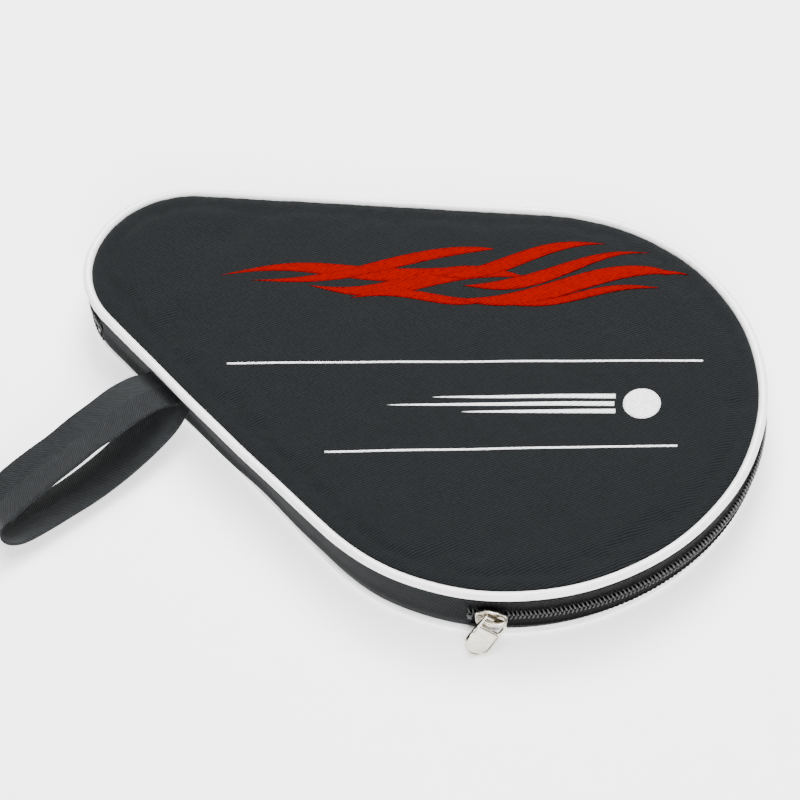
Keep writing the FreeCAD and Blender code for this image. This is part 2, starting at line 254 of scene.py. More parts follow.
def screen_ink(name, film, worn):
    """Plastisol ink, screen printed on twill: an even film with the weave faintly showing through."""
    finish = Finish(name, Roughness=0.85, Specular_IOR_Level=0.0)
    weave = finish.ribs(1.2 * MM, turn=0.62)
    speck = finish.add("TexNoise", {"Vector": finish.place, "Scale": 700, "Detail": 3})
    thin = finish.add("Math", {0: weave, 1: speck}, operation="MULTIPLY")
    bare = finish.add("MapRange", {0: thin, 1: 0.3, 2: 0.8})
    return finish.paint(bare, film, linear(worn), weave, 0.06 * MM, 0.4)


def studio_paper():
    """Matt white paper, lit from below as on a light table so that it stays white."""
    finish = Finish("Studio paper", Roughness=0.9, Specular_IOR_Level=0.05, Emission_Strength=1.05)
    finish.shader.inputs["Emission Color"].default_value = (1, 1, 1, 1)
    fibre = finish.add("TexNoise", {"Vector": finish.place, "Scale": 60, "Detail": 2})
    return finish.paint(fibre, linear("FFFFFF"), linear("FAFAFA"), fibre, 0.01 * MM, 0.1)


MATERIALS = {}


def material_for(name):
    """The finish with that name, made once."""
    colours = bpy.context.scene.paddle_case_colours
    makers = {
        "outer": lambda: polyester_twill(("020303", "131618", "1B1D1F")),
        "lining": nylon_taffeta,
        "piping": vinyl_sleeve,
        "tape": lambda: narrow_tape("Zip tape", 1.0 * MM, "020203", "101012"),
        "binding": lambda: narrow_tape("Grosgrain binding", 1.2 * MM, "08090B", "2A2B2F"),
        "webbing": herringbone_webbing,
        "coil": nylon_monofilament,
        "metal": nickel_plate,
        "thread": lambda: sewing_thread("Black sewing thread", "0A0B0C", "26282B"),
        "white_thread": lambda: sewing_thread("White sewing thread", "F4F4F2", "D0D0CC"),
        "red_ink": lambda: screen_ink("Red screen ink", (*colours.streaks, 1.0), "220302"),
        "white_ink": lambda: screen_ink("White screen ink", (*colours.rules, 1.0), "8E9092"),
        "paper": studio_paper,
    }
    if name not in MATERIALS:
        MATERIALS[name] = makers[name]()
    return MATERIALS[name]


# ---------------------------------------------------------------- the case's edge

def edge_at(stations):
    """Points on the piping's outermost line, and the outward directions there."""
    s = np.mod(np.asarray(stations, float), EDGE_LENGTH)
    head = s < HEAD_LENGTH
    zip_side = ~head & (s < HEAD_LENGTH + SIDE_LENGTH)
    handle = ~head & ~zip_side & (s < EDGE_LENGTH - SIDE_LENGTH)
    angle = np.full(s.shape, -TANGENT)
    angle[head] = -TANGENT + s[head] / HEAD_RADIUS
    angle[zip_side] = TANGENT
    angle[handle] = TANGENT + (s[handle] - HEAD_LENGTH - SIDE_LENGTH) / HANDLE_RADIUS
    outward = np.stack([np.cos(angle), np.sin(angle)], 1)
    centre = np.zeros((len(s), 2))
    centre[handle | ~(head | zip_side | handle), 0] = -CENTRE_DISTANCE
    radius = np.where(head | zip_side, HEAD_RADIUS, HANDLE_RADIUS)
    points = centre + outward * radius[:, None]
    forward = np.stack([-outward[:, 1], outward[:, 0]], 1)
    run = np.zeros(len(s))
    run[zip_side] = s[zip_side] - HEAD_LENGTH
    gusset = ~(head | zip_side | handle)
    run[gusset] = s[gusset] - (EDGE_LENGTH - SIDE_LENGTH)
    return points + forward * run[:, None], outward


def edge_place(x, y):
    """Station of the nearest point on the edge, and the depth inside the piping's outermost line."""
    x, y = np.asarray(x, float), np.asarray(y, float)
    slope = (HEAD_RADIUS - HANDLE_RADIUS) / CENTRE_DISTANCE
    lean = SIDE_LENGTH / CENTRE_DISTANCE
    side, back = np.abs(y), -x
    run = lean * back - slope * side
    head, handle = run < 0, run > SIDE_LENGTH
    inside = HEAD_RADIUS - (lean * side + slope * back)
    inside = np.where(head, HEAD_RADIUS - np.hypot(x, y), inside)
    inside = np.where(handle, HANDLE_RADIUS - np.hypot(x + CENTRE_DISTANCE, y), inside)
    station = np.where(y >= 0, HEAD_LENGTH + run, EDGE_LENGTH - run)
    turn = np.mod(np.arctan2(y, x + CENTRE_DISTANCE), 2 * math.pi) - TANGENT
    station = np.where(handle, HEAD_LENGTH + SIDE_LENGTH + HANDLE_RADIUS * turn, station)
    station = np.where(head, HEAD_RADIUS * (TANGENT + np.arctan2(y, x)), station)
    return station, inside


def eased(values, low, high):
    """Smooth step from 0 at low to 1 at high."""
    t = np.clip((values - low) / (high - low), 0, 1)
    return t * t * (3 - 2 * t)


# How the soft case has settled, in millimetres, at stations round its edge: how far the back panel's edge
# draws in, the front panel's edge leans out, the zip side bellies out, the back edge lifts, and the wall's
# foot bulges over the back piping.
HEAD_TURN = math.degrees(TANGENT)
SETTLED = [(HEAD_RADIUS * math.radians(angle + HEAD_TURN), *row) for angle, *row in (
    (-HEAD_TURN, 1.2, 0.2, 0, 0, 0.4), (-90, 0.9, 0, 0, 0, 0.3), (-67, 0.9, 0, 0, 0, 0.3),
    (-45, 2.4, 0, 0, 0, 0.6), (-20, 3.8, 0, 0, 0, 0.6), (20, 3.4, 0, 0, 0, 0.3), (60, 1.5, 0, 0, 0, 0),
    (90, 0.3, 0, 0, 0, 0), (HEAD_TURN, 0.3, 0, 0, 0, 0))]
SETTLED += [(HEAD_LENGTH + run * MM, *row) for run, *row in (
    (24, 0.3, 0, 0, 0, 0), (48, -1.0, 0, 3.4, 1.8, 0), (75, -1.6, 0, 5.0, 2.6, 0), (115, -1.0, 0, 3.0, 1.6, 0),
    (146, 0, 0, 0, 0.3, 0))]
SETTLED += [(EDGE_LENGTH - run * MM, *row) for run, *row in (
    (165, 1.0, 0, 0, 0, 0.6), (146, 1.0, 0.2, 0, 0, 1.4), (110, 2.2, 0.9, 0, 0, 2.0),
    (70, 3.0, 1.4, 0, 0, 1.2), (30, 2.4, 0.9, 0, 0, 0.5))]


def slumped(points):
    """Settles points of the soft case as it lies on the table."""
    moved = np.array(points, float)
    station, inside = edge_place(moved[:, 0], moved[:, 1])
    outward = edge_at(station)[1]
    table = np.array(SETTLED)
    softened = []
    for column in range(1, 6):
        spread = [np.interp(station + k * 5 * MM, table[:, 0], table[:, column] * MM, period=EDGE_LENGTH)
                  for k in range(-4, 5)]
        softened.append(np.mean(spread, axis=0))
    back_in, front_out, belly, lift, foot = softened
    height = moved[:, 2]
    fade = 1 - eased(inside, 4 * MM, 40 * MM)
    shift = fade * (front_out * eased(height, 12 * MM, 22 * MM) - back_in * (1 - eased(height, 3 * MM, 9 * MM)))
    bell = np.exp(-((height - 15.5 * MM) / (5 * MM)) ** 2) * (1 - eased(inside, 5 * MM, 9 * MM))
    toe = eased(height, 2.8 * MM, 4.5 * MM) * (1 - eased(height, 5.5 * MM, 13 * MM)) * (inside < 2.7 * MM)
    moved[:, :2] += outward * (shift + belly * bell + foot * toe)[:, None]
    moved[:, 2] += lift * fade * (1 - eased(height, 4 * MM, 24 * MM))
    return moved


# ---------------------------------------------------------------- mesh helpers

def mesh_object(name, points, faces, smooth=True):
    mesh = bpy.data.meshes.new(name)
    mesh.from_pydata([tuple(p) for p in points], [], [tuple(f) for f in faces])
    mesh.validate()
    obj = bpy.data.objects.new(name, mesh)
    bpy.context.scene.collection.objects.link(obj)
    if smooth:
        mesh.shade_smooth()
    return obj


def face_outward(obj, merge=0.0):
    work = bmesh.new()
    work.from_mesh(obj.data)
    if merge:
        bmesh.ops.remove_doubles(work, verts=work.verts, dist=merge)
    bmesh.ops.recalc_face_normals(work, faces=work.faces)
    work.to_mesh(obj.data)
    work.free()


def finish_piece(obj, material, slot_name, *replaced, body=None):
    """Gives a piece its material, and says what it rides on and stands for; its slot name is not used."""
    obj.data.materials.clear()
    obj.data.materials.append(material_for(material))
    if replaced:
        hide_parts(*replaced)
    if body:
        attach(obj, body)
    return obj


def apply_modifiers(obj):
    """Turns the evaluated object into a plain mesh and removes its modifiers."""
    graph = bpy.context.evaluated_depsgraph_get()
    mesh = bpy.data.meshes.new_from_object(obj.evaluated_get(graph), preserve_all_data_layers=True,
                                           depsgraph=graph)
    obj.modifiers.clear()
    old = obj.data
    obj.data = mesh
    mesh.name = old.name
    return obj


def subdivide(obj, levels=1):
    modifier = obj.modifiers.new("Smooth", "SUBSURF")
    modifier.levels = modifier.render_levels = levels
    return apply_modifiers(obj)


def join(name, objects):
    """One object from several, keeping their places."""
    work = bmesh.new()
    for obj in objects:
        obj.data.transform(obj.matrix_world)
        work.from_mesh(obj.data)
    mesh = bpy.data.meshes.new(name)
    work.to_mesh(mesh)
    work.free()
    for obj in objects:
        bpy.data.objects.remove(obj)
    result = bpy.data.objects.new(name, mesh)
    bpy.context.scene.collection.objects.link(result)
    mesh.shade_smooth()
    return result


def swept(name, points, ring_closed, path_closed, lengths, girths):
    """Skin over a grid of points (path, ring), with a UV map named along in metres."""
    rows, columns = points.shape[:2]
    row_steps = rows if path_closed else rows - 1
    column_steps = columns if ring_closed else columns - 1
    faces, coordinates = [], []
    for i in range(row_steps):
        for j in range(column_steps):
            k, m = (i + 1) % rows, (j + 1) % columns
            faces.append((i * columns + j, k * columns + j, k * columns + m, i * columns + m))
            u0, u1, v0, v1 = lengths[i], lengths[i + 1], girths[j], girths[j + 1]
            coordinates += [(u0, v0), (u1, v0), (u1, v1), (u0, v1)]
    obj = mesh_object(name, points.reshape(-1, 3), faces)
    layer = obj.data.uv_layers.new(name="along")
    layer.data.foreach_set("uv", np.array(coordinates, np.float32).ravel())
    if ring_closed and not path_closed:
        cap_ends(obj, rows, columns)
    face_outward(obj)
    return obj


def cap_ends(obj, rows, columns):
    work = bmesh.new()
    work.from_mesh(obj.data)
    work.verts.ensure_lookup_table()
    work.faces.new([work.verts[j] for j in range(columns)])
    work.faces.new([work.verts[(rows - 1) * columns + j] for j in range(columns)])
    work.to_mesh(obj.data)
    work.free()


def edge_strip(name, start, stop, section, spacing=2.0 * MM, wave=None):
    """Sweeps a closed section of (depth, height) points along the case's edge."""
    closed = stop - start >= EDGE_LENGTH - 1e-9
    count = int((stop - start) / spacing) + 1
    lengths = np.linspace(start, stop, count + 1)
    stations = lengths[:-1] if closed else lengths
    edge, outward = edge_at(stations)
    section = np.array(section, float)
    depth = np.broadcast_to(section[:, 0], (len(stations), len(section))).copy()
    height = np.broadcast_to(section[:, 1], depth.shape).copy()
    if wave:
        shift = wave(stations)
        depth += shift[:, None]
    points = np.zeros((*depth.shape, 3))
    points[:, :, :2] = edge[:, None] - outward[:, None] * depth[:, :, None]
    points[:, :, 2] = height
    points = slumped(points.reshape(-1, 3)).reshape(points.shape)
    steps = np.linalg.norm(np.roll(section, -1, axis=0) - section, axis=1)
    girths = np.concatenate([[0], np.cumsum(steps)])
    if not closed:
        lengths = np.append(lengths, stop)
    return swept(name, points, True, closed, lengths, girths)


def rounded_section(depth_out, depth_in, low, high, rows):
    """Flat strip section with softened ends, divided into rows along its height."""
    half = (depth_in - depth_out) / 2
    heights = np.linspace(low + half * 0.6, high - half * 0.6, rows)
    outside = [(depth_out, z) for z in heights]
    inside = [(depth_in, z) for z in heights[::-1]]
    middle = (depth_out + depth_in) / 2
    return outside + [(middle, high)] + inside + [(middle, low)]


def filled(outline, spacing, keep):
    """Even triangles inside an outline: the outline's points, then a staggered grid of the kept ones."""
    outline = np.asarray(outline, float)
    low, high = outline.min(0), outline.max(0)
    step = spacing * math.sqrt(3) / 2
    grid = []
    for row in range(int((high[1] - low[1]) / step) + 1):
        x = np.arange(low[0] + (spacing / 2 if row % 2 else 0), high[0], spacing)
        grid.append(np.column_stack([x, np.full(len(x), low[1] + (row + 0.5) * step)]))
    grid = np.concatenate(grid)
    points = [Vector(p) for p in np.concatenate([outline, grid[keep(grid)]])]
    edges = [(i, (i + 1) % len(outline)) for i in range(len(outline))]
    corners, _, faces, *_ = geometry.delaunay_2d_cdt(points, edges, [], 1, 1e-7)
    return np.array([tuple(c) for c in corners]), [tuple(f) for f in faces]


# ---------------------------------------------------------------- panels

def panel_sheets(depth, spacing):
    count = int(EDGE_LENGTH / spacing)
    edge, outward = edge_at(np.linspace(0, EDGE_LENGTH, count, endpoint=False))
    rim = edge - outward * depth
    return count, *filled(rim, spacing, lambda p: edge_place(p[:, 0], p[:, 1])[1] > depth + 0.7 * spacing)


def ripple(x, y, seed):
    """Smooth uneven surface between -1 and 1."""
    value = 0.0
    for k, (length, turn) in enumerate(((0.083, 0.3), (0.047, 1.9), (0.031, 4.0), (0.022, 5.2))):
        angle = turn + seed
        value += np.sin((x * math.cos(angle) + y * math.sin(angle)) * 2 * math.pi / length + 1.7 * k + seed)
    return value / 4


def closed_pad(name, sheet, faces, rim_count, top, bottom, flip):
    """Closed pad between an outer and an inner height at each point of a flat sheet."""
    count = len(sheet)
    points = np.zeros((2 * count, 3))
    points[:, :2] = np.concatenate([sheet, sheet])
    points[:count, 2] = top
    points[count:, 2] = bottom
    if flip:
        points[:, 2] = CASE_HEIGHT - points[:, 2]
    skin = list(faces) + [tuple(i + count for i in reversed(face)) for face in faces]
    for i in range(rim_count):
        j = (i + 1) % rim_count
        skin.append((i, i + count, j + count, j))
    obj = mesh_object(name, slumped(points), skin)
    face_outward(obj)
    return obj


def inflate(obj, free, pressure, cap):
    """Lets cloth pressure and a little spare cloth puff the free points, none moving further than cap."""
    rest = np.array([v.co for v in obj.data.vertices])
    group = obj.vertex_groups.new(name="sewn")
    for index, weight in enumerate(1 - free):
        group.add([index], float(weight), "REPLACE")
    cloth = obj.modifiers.new("Cloth", "CLOTH")
    settings = cloth.settings
    settings.quality = 6
    settings.mass = 0.2
    settings.vertex_group_mass = "sewn"
    settings.use_pressure = True
    settings.uniform_pressure_force = pressure
    settings.tension_stiffness = settings.compression_stiffness = 12
    settings.shear_stiffness = 5
    settings.bending_stiffness = 2.5
    settings.shrink_min = -0.012
    settings.effector_weights.gravity = 0
    cloth.collision_settings.use_collision = False
    cloth.point_cache.frame_start = 1
    cloth.point_cache.frame_end = 20
    scene = bpy.context.scene
    for number in range(1, 21):
        scene.frame_set(number)
    graph = bpy.context.evaluated_depsgraph_get()
    moved = np.array([v.co for v in obj.evaluated_get(graph).data.vertices])
    obj.modifiers.remove(cloth)
    obj.vertex_groups.remove(group)
    scene.frame_set(1)
    shift = moved - rest
    length = np.linalg.norm(shift, axis=1)
    shift *= (np.minimum(length, cap) / np.maximum(length, 1e-9))[:, None]
    obj.data.vertices.foreach_set("co", (rest + shift).astype(np.float32).ravel())
    obj.data.update()


def cover(name, flip, seed):
    """Padded outer cover: it dips into the seam beside the piping and crowns towards its middle."""
    rim_depth = 3.45 * MM
    rim_count, sheet, faces = panel_sheets(rim_depth, 3.2 * MM)
    depth = edge_place(sheet[:, 0], sheet[:, 1])[1] - rim_depth
    edge_level = CASE_HEIGHT - 1.5 * MM
    shoulder = 0.95 * MM * (1 - np.exp(-np.maximum(depth, 0) / (2.0 * MM)))
    crown = 0.75 * MM * (1 - np.exp(-np.maximum(depth, 0) / (28 * MM)))
    uneven = 0.22 * MM * ripple(sheet[:, 0], sheet[:, 1], seed) * np.clip(depth / (12 * MM), 0, 1)
    if flip:
        uneven = uneven * 0.5
        crown = crown * 0.6
    top = edge_level + shoulder + crown + uneven
    bottom = np.full(len(sheet), CASE_HEIGHT - 3.8 * MM)
    obj = closed_pad(name, sheet, faces, rim_count, top, bottom, flip)
    free = np.concatenate([np.clip(depth / (9 * MM), 0, 1), np.zeros(len(sheet))])
    inflate(obj, free, 0.6 if flip else 1.2, 0.35 * MM if flip else 0.7 * MM)
    if flip:
        flatten_underside(obj)
    return subdivide(obj)


def flatten_underside(obj):
    """The case's own weight presses the back cover flat on the table."""
    for vertex in obj.data.vertices:
        vertex.co.z = max(vertex.co.z, 0.05 * MM)


def lining(name, flip, seed):
    """Loose thin lining with shallow waves."""
    rim_depth = 4.0 * MM
    rim_count, sheet, faces = panel_sheets(rim_depth, 4.5 * MM)
    depth = edge_place(sheet[:, 0], sheet[:, 1])[1] - rim_depth
    loose = np.clip((depth - 6 * MM) / (20 * MM), 0, 1)
    wave = 0.35 * MM * (1 + ripple(sheet[:, 0] * 1.4, sheet[:, 1] * 1.4, seed)) * loose
    outer = np.full(len(sheet), CASE_HEIGHT - 3.82 * MM)
    inner = CASE_HEIGHT - PANEL_THICKNESS - wave
    return subdivide(closed_pad(name, sheet, faces, rim_count, outer, inner, flip))


class CASE_OT_panels(bpy.types.Operator):
    """Makes the padded front and back covers and the linings inside them"""
    bl_idname = "paddle_case.panels"
    bl_label = "Panels"

    def execute(self, context):
        for side, body, flip, seed in (("front", "lid", False, 0.4), ("back", "base", True, 2.6)):
            pad = cover(side + "_cover", flip, seed)
            finish_piece(pad, "outer", "outer_cloth", side + "_cloth", side + "_foam", body=body)
            sheet = lining(side + "_lining_sheet", flip, seed + 1)
            finish_piece(sheet, "lining", "lining_cloth", side + "_lining", body=body)
        return {"FINISHED"}


# ---------------------------------------------------------------- piping

def piping_tube(name, flip):
    sides = 20
    centre = PIPING_RADIUS if flip else CASE_HEIGHT - PIPING_RADIUS
    turns = [2 * math.pi * j / sides for j in range(sides)]
    section = [(PIPING_RADIUS * (1 - math.cos(a)), centre + PIPING_RADIUS * math.sin(a)) for a in turns]
    def wander(stations):
        return 0.06 * MM * np.sin(stations * 2 * math.pi / (EDGE_LENGTH / 19))
    return edge_strip(name, 0, EDGE_LENGTH, section, 1.6 * MM, wander)


class CASE_OT_piping(bpy.types.Operator):
    """Makes the white vinyl piping round both panels"""
    bl_idname = "paddle_case.piping"
    bl_label = "Piping"

    def execute(self, context):
        for side, body, flip in (("front", "lid", False), ("back", "base", True)):
            tube = piping_tube(side + "_piping_sleeve", flip)
            finish_piece(tube, "piping", "piping_white", side + "_piping", side + "_piping_core", body=body)
        return {"FINISHED"}


# ---------------------------------------------------------------- walls

class CASE_OT_walls(bpy.types.Operator):
    """Makes the cloth gusset, the zip's two tapes and the binding tapes inside"""
    bl_idname = "paddle_case.walls"
    bl_label = "Walls"

    def execute(self, context):
        inner = WALL_DEPTH + WALL_THICKNESS
        seam = 2 * PIPING_RADIUS - 0.6 * MM
        half_gap = 0.7 * MM
        for side, body, flip in (("front", "lid", True), ("back", "base", False)):
            edge = ZIP_LEVEL + half_gap if flip else ZIP_LEVEL - half_gap
            section = self.tape_section(inner, seam, CASE_HEIGHT - edge if flip else edge)
            if flip:
                section = [(depth, CASE_HEIGHT - height) for depth, height in section]
            tape = edge_strip(side + "_tape", ZIP_START, ZIP_END, section)
            finish_piece(tape, "tape", "zip_tape", side + "_zip_tape", body=body)
        self.gusset_wall(inner, seam, CASE_HEIGHT - seam)
        self.bindings()
        return {"FINISHED"}

    def tape_section(self, inner, seam, edge):
        """Tape with a folded hem over the half of it that is sewn to the piping."""
        hem, proud = seam + 3.6 * MM, 0.55 * MM
        return [(WALL_DEPTH - 0.2 * MM, seam), (WALL_DEPTH - proud, seam + 0.7 * MM),
                (WALL_DEPTH - proud, hem - 0.5 * MM), (WALL_DEPTH - 0.8 * proud, hem), (WALL_DEPTH, hem + 0.1 * MM),
                (WALL_DEPTH, (hem + edge) / 2), (WALL_DEPTH, edge - 0.2 * MM), (WALL_DEPTH + 0.2 * MM, edge),
                (inner - 0.1 * MM, edge), (inner, edge - 0.2 * MM), (inner, (hem + edge) / 2), (inner, hem),
                (inner, seam + 0.7 * MM), (inner, seam)]

    def gusset_wall(self, inner, low, high):
        start, stop = ZIP_END - 0.6 * MM, EDGE_LENGTH + ZIP_START + 0.6 * MM
        section = rounded_section(WALL_DEPTH - 0.35 * MM, inner, low, high, 40)
        def sag(stations):
            run = (stations - start) / (stop - start)
            return 0.35 * MM * np.sin(run * math.pi * 9) * np.sin(math.pi * run)
        wall = edge_strip("gusset_wall", start, stop, section, 2 * MM, sag)
        finish_piece(wall, "outer", "outer_cloth", "gusset", "gusset_lining")
        # Its raw edge, turned in under the front panel's seam.
        hem = edge_strip("gusset_hem", start, stop, rounded_section(2.2 * MM, 6.0 * MM, 22.0 * MM, 22.6 * MM, 2))
        finish_piece(hem, "outer", "outer_cloth", body="lid")
        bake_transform(wall)

    def bindings(self):
        outer = WALL_DEPTH + WALL_THICKNESS + 0.8 * MM
        thick = 0.8 * MM
        flange = outer + thick + 4 * MM
        seam = PANEL_THICKNESS - 0.1 * MM
        end = 11.6 * MM
        corner = [(outer, end), (outer, seam), (flange, seam), (flange + 0.2 * MM, seam + thick / 2),
                  (flange, seam + thick), (outer + 2 * thick, seam + thick),
                  (outer + thick, seam + 2 * thick), (outer + thick, end), (outer + thick / 2, end + 0.2 * MM)]
        lifted = [(depth, CASE_HEIGHT - height) for depth, height in corner]
        front = edge_strip("front_binding_tape", ZIP_START, ZIP_END, lifted)
        finish_piece(front, "binding", "binding_tape", "front_binding", body="lid")
        back = edge_strip("back_binding_tape", 0, EDGE_LENGTH, corner)
        finish_piece(back, "binding", "binding_tape", "back_binding", body="base")


# ---------------------------------------------------------------- repeats along a path

def repeat_tree():
    """Geometry Nodes: copies of an item at even steps along a level path, upright, in one material."""
    tree = bpy.data.node_groups.new("Repeat along path", "GeometryNodeTree")
    tree.interface.new_socket("Geometry", in_out="OUTPUT", socket_type="NodeSocketGeometry")
    sockets = {}
    for label, kind in (("Geometry", "NodeSocketGeometry"), ("Item", "NodeSocketObject"),
                        ("Pitch", "NodeSocketFloat"), ("Material", "NodeSocketMaterial")):
        sockets[label] = tree.interface.new_socket(label, in_out="INPUT", socket_type=kind)
    given = tree.nodes.new("NodeGroupInput")
    result = tree.nodes.new("NodeGroupOutput")
    path = add_node(tree, "GeometryNodeMeshToCurve", {"Mesh": given.outputs["Geometry"]})
    even = add_node(tree, "GeometryNodeResampleCurve", {"Curve": path, "Length": given.outputs["Pitch"]},
                    mode="LENGTH")
    points = tree.nodes.new("GeometryNodeCurveToPoints")
    points.mode = "EVALUATED"
    tree.links.new(even, points.inputs["Curve"])
    turn = add_node(tree, "FunctionNodeAxesToRotation", {0: (0.0, 0.0, 1.0), 1: points.outputs["Tangent"]},
                    primary_axis="Z", secondary_axis="X")
    item = add_node(tree, "GeometryNodeObjectInfo", {"Object": given.outputs["Item"]}, "Geometry")
    copies = add_node(tree, "GeometryNodeInstanceOnPoints",
                      {"Points": points.outputs["Points"], "Instance": item, "Rotation": turn})
    solid = add_node(tree, "GeometryNodeRealizeInstances", {"Geometry": copies})
    painted = add_node(tree, "GeometryNodeSetMaterial", {"Geometry": solid, "Material": given.outputs["Material"]})
    tree.links.new(painted, result.inputs[0])
    return tree, {label: socket.identifier for label, socket in sockets.items()}


REPEAT = []


def repeat_along(name, points, item, pitch, material):
    """Plain mesh of an item repeated along a line of points."""
    if not REPEAT:
        REPEAT.extend(repeat_tree())
    tree, identifiers = REPEAT
    mesh = bpy.data.meshes.new(name)
    mesh.from_pydata([tuple(p) for p in points], [(i, i + 1) for i in range(len(points) - 1)], [])
    obj = bpy.data.objects.new(name, mesh)
    bpy.context.scene.collection.objects.link(obj)
    modifier = obj.modifiers.new("Repeat", "NODES")
    modifier.node_group = tree
    modifier[identifiers["Item"]] = item
    modifier[identifiers["Pitch"]] = pitch
    modifier[identifiers["Material"]] = material_for(material)
    apply_modifiers(obj)
    obj.data.shade_smooth()
    return obj


def edge_line(start, stop, depth, height, spacing=2.0 * MM):
    """Points along the case's edge at one depth and height."""
    stations = np.linspace(start, stop, int((stop - start) / spacing) + 2)
    edge, outward = edge_at(stations)
    flat = edge - outward * depth
    return slumped(np.column_stack([flat, np.full(len(flat), height)]))


def bent_bar(name, line, radii, sides=6):
    """Thin bar through a line of points, with a radius at each."""
    line = [Vector(p) for p in line]
    grid = np.zeros((len(line), sides, 3))
    for i, point in enumerate(line):
        ahead = line[min(i + 1, len(line) - 1)] - line[max(i - 1, 0)]
        side = ahead.cross(Vector((0.3, 1, 0.1))).normalized()
        other = ahead.cross(side).normalized()
        for j in range(sides):
            angle = 2 * math.pi * j / sides
            grid[i, j] = point + (side * math.cos(angle) + other * math.sin(angle)) * radii[i]
    return swept(name, grid, True, False, np.arange(len(line) + 1) * MM, np.arange(sides + 1) * MM)


def zip_tooth(upper):
    """One turn of the coil: a slanted loop with a swollen head that locks between its neighbours."""
    way = -1 if upper else 1
    steps = [(-0.55, -1.55, 0.1, 0.22), (-0.32, -1.05, 0.7, 0.34), (-0.05, -0.3, 0.98, 0.38),
             (0.22, 0.55, 1.0, 0.42), (0.34, 1.1, 0.85, 0.52), (0.34, 1.45, 0.5, 0.38)]
    line = [(along * MM, -out * MM, way * rise * MM) for along, rise, out, _ in steps]
    radii = [size * MM for *_, size in steps]
    return bent_bar("tooth", line, radii)


class CASE_OT_zip_teeth(bpy.types.Operator):
    """Makes the zip's coils and their sewing lines, and gives the end stops the coil's finish"""
    bl_idname = "paddle_case.zip_teeth"
    bl_label = "Zip teeth"

    def execute(self, context):
        pitch = context.scene.paddle_case_colours.tooth_pitch
        row_offset = 1.3 * MM
        for side, body, upper in (("front", "lid", True), ("back", "base", False)):
            tooth = zip_tooth(upper)
            way = 1 if upper else -1
            first = ZIP_START + (pitch / 2 if upper else 0)
            line = edge_line(first, ZIP_END, WALL_DEPTH, ZIP_LEVEL + way * row_offset)
            row = repeat_along(side + "_coil_teeth", line, tooth, pitch, "coil")
            bpy.data.objects.remove(tooth)
            finish_piece(row, "coil", "zip_coil", side + "_coil", body=body)
            seam = edge_line(ZIP_START, ZIP_END, WALL_DEPTH - 0.5 * MM, ZIP_LEVEL + way * 7.6 * MM)
            dash = bent_bar("dash", [(-0.8 * MM, -0.05 * MM, 0), (0, -0.2 * MM, 0), (0.8 * MM, -0.05 * MM, 0)],
                            [0.12 * MM, 0.2 * MM, 0.12 * MM])
            stitches = repeat_along(side + "_tape_stitches", seam, dash, 2.1 * MM, "thread")
            bpy.data.objects.remove(dash)
            finish_piece(stitches, "thread", "thread", body=body)
        for node in ("head_end_stop", "handle_end_stop"):
            stop = frame["nodes"][node]
            stop.data.materials.clear()
            stop.data.materials.append(material_for("coil"))
        return {"FINISHED"}


# ---------------------------------------------------------------- slider and pull

def wrapped(points, angle=SLIDER_ANGLE):
    """Local points (along the zip, up, outward radius) bent round the head end's edge."""
    points = np.asarray(points, float)
    turn = angle + points[:, 0] / HEAD_RADIUS
    return np.column_stack([points[:, 2] * np.cos(turn), points[:, 2] * np.sin(turn), points[:, 1]])


def flat_plate(name, outlines, thickness, bevel):
    """Flat plate from closed outlines, the inner ones holes, with rounded edges, middle at z 0."""
    curve = bpy.data.curves.new(name, "CURVE")
    curve.dimensions = "2D"
    curve.fill_mode = "BOTH"
    curve.extrude = thickness / 2 - bevel
    curve.bevel_depth = bevel
    curve.bevel_resolution = 3
    curve.offset = -bevel
    for outline in outlines:
        spline = curve.splines.new("POLY")
        spline.points.add(len(outline) - 1)
        for point, (x, y) in zip(spline.points, outline):
            point.co = (x, y, 0, 1)
        spline.use_cyclic_u = True
    carrier = bpy.data.objects.new(name, curve)
    bpy.context.scene.collection.objects.link(carrier)
    graph = bpy.context.evaluated_depsgraph_get()
    mesh = bpy.data.meshes.new_from_object(carrier.evaluated_get(graph))
    bpy.data.objects.remove(carrier)
    obj = bpy.data.objects.new(name, mesh)
    bpy.context.scene.collection.objects.link(obj)
    mesh.shade_smooth()
    return obj


def rounded_outline(corners, radius, steps=6):
    """Closed outline with each corner rounded by a quadratic curve."""
    corners = [Vector(c) for c in corners]
    points = []
    for i, corner in enumerate(corners):
        before, after = corners[i - 1], corners[(i + 1) % len(corners)]
        reach = min(radius, (before - corner).length / 2, (after - corner).length / 2)
        start = corner + (before - corner).normalized() * reach
        end = corner + (after - corner).normalized() * reach
        for k in range(steps + 1):
            t = k / steps
            points.append(tuple(start * (1 - t) ** 2 + corner * 2 * t * (1 - t) + end * t**2))
    return points


def cut_finer(obj, times):
    work = bmesh.new()
    work.from_mesh(obj.data)
    for _ in range(times):
        long_edges = [e for e in work.edges if e.calc_length() > 1.2 * MM]
        bmesh.ops.subdivide_edges(work, edges=long_edges, cuts=1, use_grid_fill=False)
        bmesh.ops.triangulate(work, faces=work.faces)
    work.to_mesh(obj.data)
    work.free()


def reshape(obj, change):
    """Replaces every point of an object's mesh by a function of all of them."""
    points = change(np.array([v.co for v in obj.data.vertices]))
    obj.data.vertices.foreach_set("co", np.asarray(points, np.float32).ravel())
    obj.data.update()
    return obj


PLATE_UNDER = 99.8 * MM
PLATE_TOP = 101.0 * MM
PULL_PIVOT = Vector(PULL_HINGE["pos_m"])


